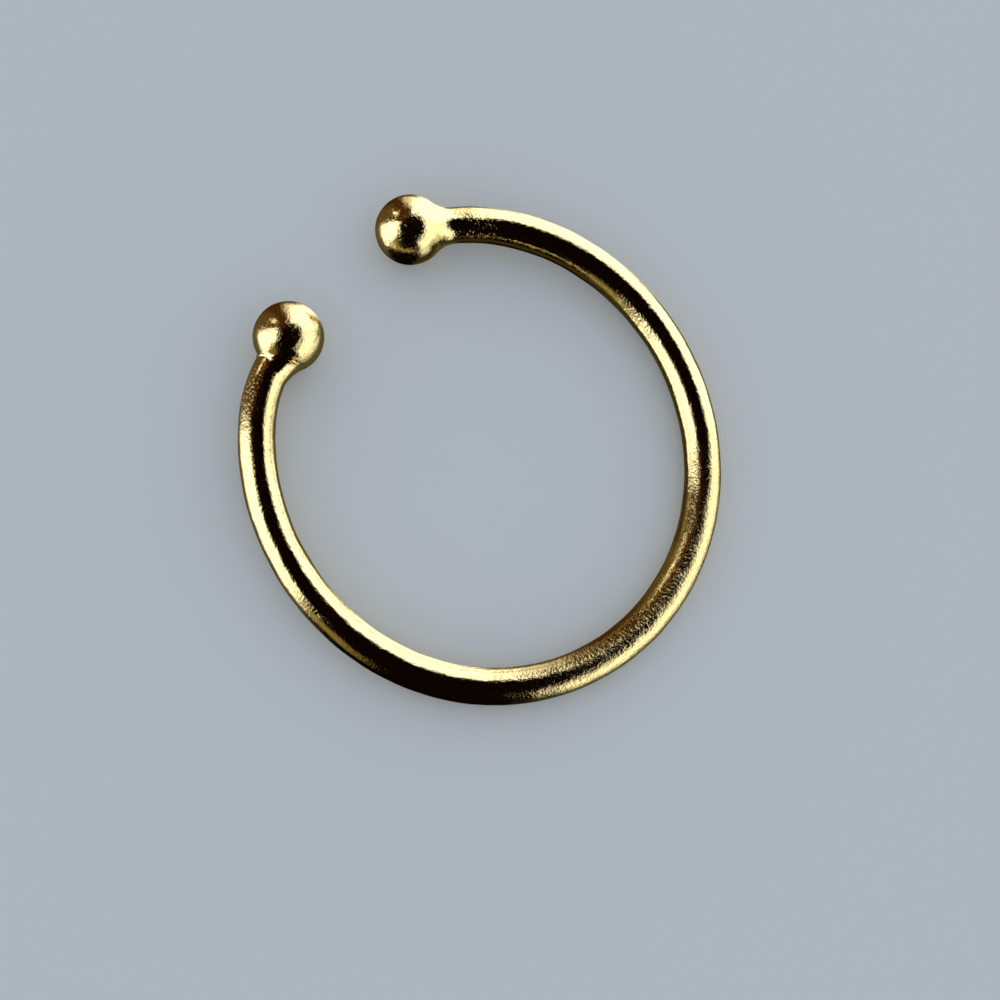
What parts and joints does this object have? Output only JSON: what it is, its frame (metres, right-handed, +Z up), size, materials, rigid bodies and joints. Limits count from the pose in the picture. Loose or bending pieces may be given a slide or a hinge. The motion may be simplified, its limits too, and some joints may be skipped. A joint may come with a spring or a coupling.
{
  "type": "ear cuff",
  "caption": "Plain open ear cuff: round polished wire bent to a slightly oval ring, with a small ball fused to each end beside the gap that slips over the edge of the ear.",
  "frame": {"origin": "on the surface that the cuff lies on, below the middle of its outline", "axes": "+Y points out through the gap, square to the line between the two balls; +X points from the left ball to the right ball; +Z is up from the surface"},
  "size_m": [0.0132, 0.0136, 0.0019],
  "materials": {
    "polished_gold": "polished, warm gold colour with fine polishing grain, satin on one stretch"
  },
  "bodies": {
    "root": {"cuff_ring": "polished_gold"}
  },
  "joints": []
}
